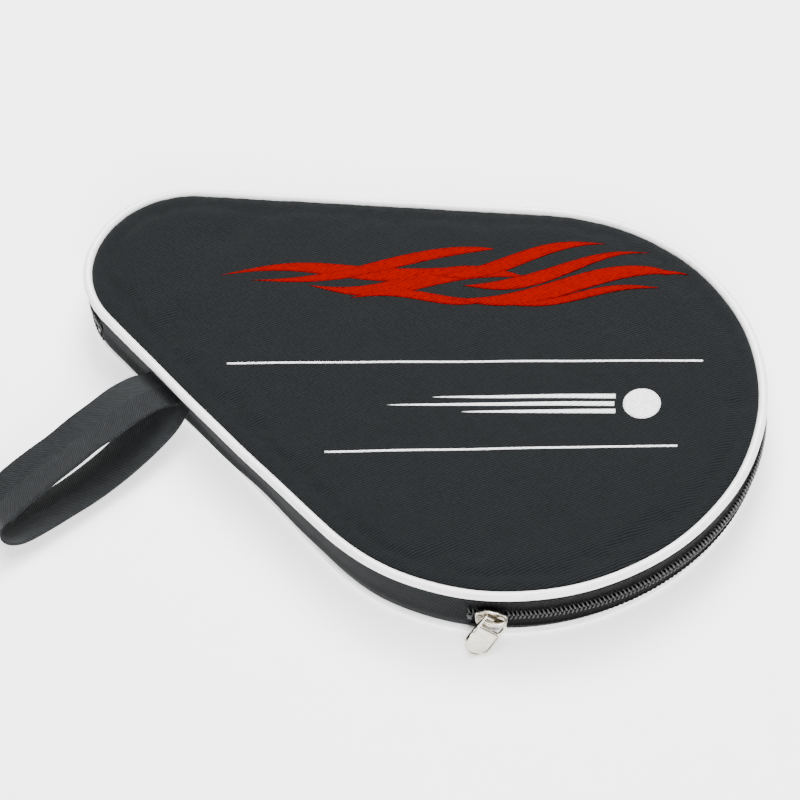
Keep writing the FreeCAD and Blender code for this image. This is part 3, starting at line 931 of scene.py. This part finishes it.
def slider_plates():
    """Shield-shaped outer plate and its twin behind the tapes."""
    shield = [(-6.0, -3.6), (-6.0, 3.6), (-2.5, 5.2), (1.5, 4.9), (6.2, 3.0), (6.2, -3.0), (1.5, -4.9),
              (-2.5, -5.2)]
    outline = rounded_outline([(x * MM, y * MM) for x, y in shield], 2.4 * MM)
    plates = []
    for name, middle, thick, size in (("outer", 100.45 * MM, 1.3 * MM, 1.0), ("inner", 94.9 * MM, 1.0 * MM, 0.84)):
        plate = flat_plate(name, [[(x * size, y * size) for x, y in outline]], thick, 0.35 * MM)
        cut_finer(plate, 2)
        def bend(points, middle=middle):
            dome = 0.35 * MM * (1 - (points[:, 1] / (5.2 * MM)) ** 2) * (points[:, 2] > 0)
            local = np.column_stack([points[:, 0], points[:, 1] + ZIP_LEVEL, middle + points[:, 2] + dome])
            return wrapped(local)
        plates.append(reshape(plate, bend))
    rim = [Vector((x * 0.94, y * 0.94 + ZIP_LEVEL, 101.15 * MM)) for x, y in outline]
    rim = wrapped([tuple(p) for p in rim + rim[:1]])
    plates.append(bent_bar("flange", rim, [0.5 * MM] * len(rim), 8))
    return plates


def slider_post():
    """Wedge between the two rows, joining the plates at the slider's mouth."""
    outline = rounded_outline([(-6.2 * MM, -0.4 * MM), (-6.2 * MM, 0.4 * MM), (-4.4 * MM, 0.4 * MM),
                               (-4.4 * MM, -0.4 * MM)], 0.3 * MM)
    post = flat_plate("post", [outline], 5.6 * MM, 0.1 * MM)
    def stand(points):
        return wrapped(np.column_stack([points[:, 0], points[:, 1] + ZIP_LEVEL, 97.6 * MM + points[:, 2]]))
    return reshape(post, stand)


def crown_bridge():
    """Bridge over the outer plate that holds the pull, made of one thick rounded strap of metal."""
    steps = 22
    half_span, rise, offset = 4.1 * MM, 3.1 * MM, 1.6 * MM
    grid = np.zeros((steps + 1, 12, 3))
    for i in range(steps + 1):
        angle = math.pi * i / steps
        # A squared arch, so that the pull's bar has room under it.
        along = -half_span * math.copysign(abs(math.cos(angle)) ** 0.55, math.cos(angle))
        out = rise * abs(math.sin(angle)) ** 0.55
        lean = Vector((math.cos(angle) * -1, math.sin(angle)))
        for j in range(12):
            turn = 2 * math.pi * j / 12
            wide = math.copysign(abs(math.cos(turn)) ** 0.6, math.cos(turn)) * (1.0 + 0.5 * abs(lean.x)) * MM
            thick = math.copysign(abs(math.sin(turn)) ** 0.6, math.sin(turn)) * 0.5 * MM
            grid[i, j] = (offset + along + lean.x * thick, wide, out + lean.y * thick)
    local = grid.reshape(-1, 3)
    local = np.column_stack([local[:, 0], local[:, 1] + ZIP_LEVEL, local[:, 2] + PLATE_TOP - 0.1 * MM])
    points = wrapped(local).reshape(grid.shape)
    return swept("crown", points, True, False, np.arange(steps + 2) * MM, np.arange(13) * MM)


def pull_frame():
    """Matrix from the pull's own width, length and face directions to the case."""
    outward = Vector((math.cos(SLIDER_ANGLE), math.sin(SLIDER_ANGLE), 0))
    width = -Vector(PULL_HINGE["axis"])
    tangent = Vector((-outward.y, outward.x, 0))
    length = (outward * 7.9 + tangent * -10.8 + Vector((0, 0, -13.0))).normalized()
    face = width.cross(length)
    matrix = Matrix((width, length, face)).transposed().to_4x4()
    matrix.translation = PULL_PIVOT
    return matrix


def pull_plate():
    """Oval tab: a slot at its top, a raised rim round a plain polished face."""
    inverse = pull_frame().inverted()
    tip = max((inverse @ v.co).y for v in frame["nodes"]["pull_tab"].data.vertices)
    radius, top = 5.75 * MM, -0.6 * MM
    shoulder = tip - radius
    arc = [(radius * math.cos(math.pi * k / 24), shoulder + radius * math.sin(math.pi * k / 24))
           for k in range(25)]
    head = rounded_outline([(-5.4 * MM, top + 3 * MM), (-5.4 * MM, top), (5.4 * MM, top), (5.4 * MM, top + 3 * MM)],
                           1.6 * MM)[7:21]
    outline = head + arc
    slot = rounded_outline([(-4.2 * MM, 0.55 * MM), (4.2 * MM, 0.55 * MM), (4.1 * MM, 4.15 * MM),
                            (-4.1 * MM, 4.15 * MM)], 0.7 * MM)
    tab = flat_plate("tab", [outline, slot], 1.1 * MM, 0.3 * MM)
    rim_line = [(-4.9 * MM, 5.1 * MM), (4.9 * MM, 5.1 * MM)] + \
        [((radius - 0.7 * MM) * math.cos(math.pi * k / 24), shoulder + (radius - 0.7 * MM) * math.sin(math.pi * k / 24))
         for k in range(25)]
    rims = []
    for side in (-1, 1):
        line = [Vector((x, y, side * 0.42 * MM)) for x, y in rounded_outline(rim_line, 1.4 * MM, 3)]
        rims.append(bent_bar("rim", line + line[:1], [0.5 * MM] * (len(line) + 1), 8))
    return [tab] + rims


class CASE_OT_slider(bpy.types.Operator):
    """Makes the zip's slider, its crown and its pull tab"""
    bl_idname = "paddle_case.slider"
    bl_label = "Slider"

    def execute(self, context):
        casting = join("slider_casting", slider_plates() + [slider_post()])
        face_outward(casting)
        finish_piece(casting, "metal", "zip_metal", "slider_body", body="slider")
        finish_piece(crown_bridge(), "metal", "zip_metal", "slider_crown", body="slider").name = "slider_bridge"
        tab = join("pull_tongue", pull_plate())
        tab.data.transform(pull_frame())
        face_outward(tab)
        finish_piece(tab, "metal", "zip_metal", "pull_tab", body="pull")
        return {"FINISHED"}


# ---------------------------------------------------------------- strap

STRAP_WIDTH = 22 * MM
STRAP_THICKNESS = 1.4 * MM


def beside_gusset(out, along, height):
    """A point by the gusset wall: out from it, along it from its head-end corner, and up."""
    flat = GUSSET_OUT * (HEAD_RADIUS - WALL_DEPTH + out) + GUSSET_ALONG * along
    return Vector((flat.x, flat.y, height))


def smooth_line(points, count):
    """Points on a smooth curve through given ones, by centripetal-free Catmull-Rom blending."""
    points = np.array([points[0], *points, points[-1]], float)
    spans = len(points) - 3
    line = []
    for t in np.linspace(0, spans - 1e-9, count):
        k, u = int(t), t - int(t)
        a, b, c, d = points[k:k + 4]
        line.append(0.5 * (2 * b + (c - a) * u + (2 * a - 5 * b + 4 * c - d) * u**2
                           + (3 * b - a - 3 * c + d) * u**3))
    return np.array(line)


def strap_route():
    """Webbing's middle line as out, along, up and tilt: seam, upper leg, fold, lower leg, seam."""
    return [(-0.5, 105.2, 16.9, 0), (5, 106.4, 18.4, -1), (11, 106.6, 20.8, -1), (21, 105.8, 23.2, -1),
            (32, 104.9, 23.6, -2), (42, 105.0, 23.0, -4), (53, 104.9, 21.2, -4.5), (63, 105.5, 19.4, -3),
            (75, 106.0, 16.8, -2), (84, 105.8, 14.4, -3), (90.3, 103.8, 11.2, -6), (91.2, 100.6, 7.4, -10),
            (86, 98.0, 5.0, -13), (75, 96.8, 4.3, -14.5), (63, 96.4, 4.1, -14), (53, 96.2, 4.0, -13),
            (42, 96.4, 4.6, -12), (32, 96.9, 5.7, -11), (21, 97.7, 8.0, -8), (11, 98.9, 11.0, -4),
            (5, 100.6, 13.4, -1), (-0.5, 102.4, 15.2, 0)]


class CASE_OT_strap(bpy.types.Operator):
    """Makes the webbing strap"""
    bl_idname = "paddle_case.strap"
    bl_label = "Strap"

    def execute(self, context):
        line = smooth_line(strap_route(), 150)
        middle = [beside_gusset(*(p[:3] * MM)) for p in line]
        columns = 16
        ring = self.ring(columns)
        grid = np.zeros((len(middle), len(ring), 3))
        lengths = [0.0]
        for i, point in enumerate(middle):
            ahead = (middle[min(i + 1, len(middle) - 1)] - middle[max(i - 1, 0)]).normalized()
            tilt = math.radians(line[i][3])
            across = GUSSET_ALONG * math.cos(tilt) + Vector((0, 0, 1)) * math.sin(tilt)
            across = (across - ahead * across.dot(ahead)).normalized()
            normal = ahead.cross(across)
            for j, (w, t) in enumerate(ring):
                grid[i, j] = point + across * w + normal * t
            if i:
                lengths.append(lengths[-1] + (point - middle[i - 1]).length)
        lengths.append(lengths[-1])
        girths = [0.0]
        for j in range(len(ring)):
            a, b = ring[j], ring[(j + 1) % len(ring)]
            girths.append(girths[-1] + math.hypot(b[0] - a[0], b[1] - a[1]))
        grid[:, :, 2] = np.maximum(grid[:, :, 2], 0.1 * MM)
        webbing = swept("strap_webbing", grid, True, False, lengths, girths)
        finish_piece(webbing, "webbing", "webbing", "strap_loop", "strap_anchor")
        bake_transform(webbing)
        return {"FINISHED"}

    def ring(self, columns):
        """Webbing's section: flat faces with rounded, slightly thicker woven edges."""
        half_width, half = STRAP_WIDTH / 2, STRAP_THICKNESS / 2
        across = np.linspace(-half_width + 0.8 * MM, half_width - 0.8 * MM, columns)
        upper = [(w, half) for w in across]
        lower = [(w, -half) for w in across[::-1]]
        right = [(half_width - 0.3 * MM, half * 0.9), (half_width, 0), (half_width - 0.3 * MM, -half * 0.9)]
        left = [(-w, -t) for w, t in right]
        return upper + right + lower + left


# ---------------------------------------------------------------- print

PRINT_ANGLE = math.radians(26.5)


def on_panel(a, b):
    """Row position of a print point: a along the print's lines and b across them, in millimetres."""
    turn = Matrix.Rotation(PRINT_ANGLE, 2)
    return turn @ Vector((a * MM, b * MM))


def inside_outline(outline, margin):
    """Test for the points that lie inside a closed outline and at least a margin from it."""
    corners = np.asarray(outline, float)
    nexts = np.roll(corners, -1, axis=0)
    side = nexts - corners
    rise = np.where(side[:, 1] == 0, 1e-12, side[:, 1])

    def test(points):
        x, y = points[:, :1], points[:, 1:]
        crossing = (corners[:, 1] > y) != (nexts[:, 1] > y)
        left = x < corners[:, 0] + side[:, 0] / rise * (y - corners[:, 1])
        within = np.count_nonzero(crossing & left, axis=1) % 2 == 1
        offset = points[:, None] - corners
        t = np.clip((offset * side).sum(2) / np.maximum((side**2).sum(1), 1e-18), 0, 1)
        gap = np.linalg.norm(offset - side * t[:, :, None], axis=2).min(axis=1)
        return within & (gap > margin)
    return test


def ink_film(name, outline, surface, layer=0, spacing=1.6 * MM):
    """Thin film of ink inside an outline, draped on the front cover."""
    sheet, faces = filled(outline, spacing, inside_outline(outline, spacing * 0.45))
    points = []
    for x, y in sheet:
        hit = surface.ray_cast(Vector((x, y, 0.1)), Vector((0, 0, -1)))[0]
        points.append((x, y, hit.z))
    count = len(points)
    top = [(x, y, z + (0.14 + 0.03 * layer) * MM) for x, y, z in points]
    under = [(x, y, z - 0.05 * MM) for x, y, z in points]
    skin = list(faces) + [tuple(i + count for i in reversed(face)) for face in faces]
    rim = len(outline)
    skin += [(i, i + count, (i + 1) % rim + count, (i + 1) % rim) for i in range(rim)]
    obj = mesh_object(name, top + under, skin)
    face_outward(obj)
    return obj


def rule(a_from, a_to, b_from, b_to, width):
    """Outline of a thin straight line."""
    line = [(a_from + (a_to - a_from) * t, b_from + (b_to - b_from) * t) for t in np.linspace(0, 1, 60)]
    return [on_panel(a, b - width / 2) for a, b in line] + [on_panel(a, b + width / 2) for a, b in line[::-1]]


def streak(a_from, a_to, b_from, b_to, sway, turn, thick, peak):
    """Outline of a tapered wave: a centre line that sways, and a width that peaks part of the way along."""
    steps = np.linspace(0, 1, 49)
    centre_a = a_from + (a_to - a_from) * steps
    centre_b = b_from + (b_to - b_from) * steps + sway * np.sin(math.pi * 2 * steps * turn)
    width = thick * (steps / peak) ** 1.3 * ((1 - steps) / (1 - peak)) ** (1.3 * (1 - peak) / peak)
    lower = [on_panel(a, b) for a, b in zip(centre_a, centre_b - width / 2)]
    upper = [on_panel(a, b) for a, b in zip(centre_a, centre_b + width / 2)]
    return lower + upper[-2:0:-1]


def round_outline(a, b, radius, count=48):
    return [on_panel(a + radius * math.cos(2 * math.pi * k / count), b + radius * math.sin(2 * math.pi * k / count))
            for k in range(count)]


def speed_bar(a_from, a_to, b, thick):
    """Outline of a bar that tapers to a point at its far left."""
    steps = np.linspace(0, 1, 30)
    widths = thick * np.sqrt(steps)
    lower = [on_panel(a_from + (a_to - a_from) * t, b - w / 2) for t, w in zip(steps, widths)]
    upper = [on_panel(a_from + (a_to - a_from) * t, b + w / 2) for t, w in zip(steps, widths)]
    return lower + upper[:0:-1]


class CASE_OT_print(bpy.types.Operator):
    """Prints red streaks, two thin rules and a plain ball sign on the front cover"""
    bl_idname = "paddle_case.print"
    bl_label = "Print"

    def execute(self, context):
        graph = bpy.context.evaluated_depsgraph_get()
        surface = BVHTree.FromObject(bpy.data.objects["front_cover"], graph)
        streaks = [
            (-125, -22, 63, 66, 3.0, 1.0, 7.0, 0.62), (-112, -12, 60, 74, -3.0, 0.9, 6.0, 0.6),
            (-88, 2, 57, 60, -4.0, 1.0, 8.5, 0.55), (-70, -6, 50, 50, 2.5, 1.0, 4.5, 0.5),
            (-38, 34, 62, 78, -3.0, 1.0, 7.5, 0.45), (-24, 52, 56, 72, -3.5, 0.9, 7.0, 0.42),
            (-30, 68, 49, 62, -4.0, 1.0, 9.0, 0.5), (-8, 56, 46, 54, -2.0, 1.0, 4.0, 0.5)]
        shapes = [streak(*values) for values in streaks]
        films = [ink_film("film", shape, surface, layer) for layer, shape in enumerate(shapes)]
        finish_piece(join("printed_streaks", films), "red_ink", "print_red", body="lid")
        white = [rule(-118.3, 74.1, 16.2, 15.8, 0.9), rule(-75.4, 64.2, -29.4, -27.2, 0.9), round_outline(50, -6, 7.5)]
        white += [speed_bar(left, 50 - reach, level, 2.2)
                  for left, reach, level in ((-34, 10.5, -2.2), (-52, 11.0, -6), (-22, 10.5, -9.8))]
        films = [ink_film("film", shape, surface) for shape in white]
        finish_piece(join("printed_lines", films), "white_ink", "print_white", body="lid")
        return {"FINISHED"}


# ---------------------------------------------------------------- stage

class CASE_OT_stage(bpy.types.Operator):
    """Sets a white paper floor, soft studio lights and the camera"""
    bl_idname = "paddle_case.stage"
    bl_label = "Stage"

    def execute(self, context):
        self.floor()
        self.lights(context)
        self.camera(context)
        return {"FINISHED"}

    def floor(self):
        half = 3.0
        floor = mesh_object("paper_floor", [(-half, -half, 0), (half, -half, 0), (half, half, 0), (-half, half, 0)],
                            [(0, 1, 2, 3)], smooth=False)
        floor.data.materials.append(material_for("paper"))

    def lights(self, context):
        world = bpy.data.worlds.new("Studio")
        world.use_nodes = True
        tree = world.node_tree
        toward = add_node(tree, "ShaderNodeTexCoord", {}, "Generated")
        height = add_node(tree, "ShaderNodeSeparateXYZ", {"Vector": toward}, 2)
        # A studio room: dark along the horizon, so that metal has something to mirror, and bright overhead.
        bright = add_node(tree, "ShaderNodeMapRange", {0: height, 1: 0.25, 2: 0.75, 3: 0.02, 4: 1.4})
        tree.links.new(bright, tree.nodes["Background"].inputs["Strength"])
        context.scene.world = world
        for name, place, size, power in (("key", (-0.35, 0.9, 1.3), 0.9, 64), ("fill", (0.8, -1.2, 0.9), 0.8, 40),
                                         ("top", (-0.1, 0.1, 1.8), 1.2, 44)):
            lamp = bpy.data.lights.new(name, "AREA")
            lamp.shape = "DISK"
            lamp.size = size
            lamp.energy = power
            holder = bpy.data.objects.new(name, lamp)
            holder.location = place
            holder.rotation_euler = Vector(place).to_track_quat("Z", "Y").to_euler()
            context.scene.collection.objects.link(holder)

    def camera(self, context):
        """Looks down at the case from the gusset side's head end, with a slight roll."""
        elevation, azimuth, roll = (math.radians(a) for a in (51.28, 35.51, -7.42))
        distance, shift_right, shift_up, focus_level = 1.523, 46.9 * MM, 1.6 * MM, 25.5 * MM
        back = Vector((math.sin(azimuth) * math.cos(elevation), -math.cos(azimuth) * math.cos(elevation),
                       math.sin(elevation)))
        level_right = Vector((math.cos(azimuth), math.sin(azimuth), 0))
        level_up = back.cross(level_right)
        right = level_right * math.cos(roll) + level_up * math.sin(roll)
        up = level_up * math.cos(roll) - level_right * math.sin(roll)
        lens = bpy.data.cameras.new("camera")
        lens.sensor_width = 36
        lens.lens = 18 / math.tan(math.radians(12) / 2)
        camera = bpy.data.objects.new("camera", lens)
        matrix = Matrix((right, up, back)).transposed().to_4x4()
        matrix.translation = back * distance - right * shift_right - up * shift_up + Vector((0, 0, focus_level))
        camera.matrix_world = matrix
        context.scene.collection.objects.link(camera)
        context.scene.camera = camera


# ---------------------------------------------------------------- add-on

class CasePaint(bpy.types.PropertyGroup):
    """Colours and sizes that a maker would change"""
    streaks: FloatVectorProperty(name="Streaks", description="Colour of the printed streaks", subtype="COLOR",
                                 default=(0.17, 0.0004, 0.0002), min=0, max=1)
    rules: FloatVectorProperty(name="Rules", description="Colour of the printed lines and ball", subtype="COLOR",
                               default=(0.9, 0.9, 0.9), min=0, max=1)
    tooth_pitch: FloatProperty(name="Tooth pitch", description="Distance between turns of the zip's coil",
                               unit="LENGTH", default=1.69 * MM, min=MM, max=5 * MM)


class CASE_PT_panel(bpy.types.Panel):
    """Lists the steps that make the case"""
    bl_idname = "CASE_PT_panel"
    bl_label = "Paddle case"
    bl_space_type = "VIEW_3D"
    bl_region_type = "UI"
    bl_category = "Paddle case"

    def draw(self, context):
        for name in ("streaks", "rules", "tooth_pitch"):
            self.layout.prop(context.scene.paddle_case_colours, name)
        for step in STEPS:
            self.layout.operator(step.bl_idname)


STEPS = (CASE_OT_stage, CASE_OT_panels, CASE_OT_piping, CASE_OT_walls, CASE_OT_zip_teeth, CASE_OT_slider,
         CASE_OT_strap, CASE_OT_print)


def register():
    for entry in (CasePaint, CASE_PT_panel, *STEPS):
        bpy.utils.register_class(entry)
    bpy.types.Scene.paddle_case_colours = PointerProperty(type=CasePaint)


def unregister():
    del bpy.types.Scene.paddle_case_colours
    for entry in reversed((CasePaint, CASE_PT_panel, *STEPS)):
        bpy.utils.unregister_class(entry)


def main():
    register()
    for step in STEPS:
        family, action = step.bl_idname.split(".")
        getattr(getattr(bpy.ops, family), action)()


if __name__ == "__main__":
    main()
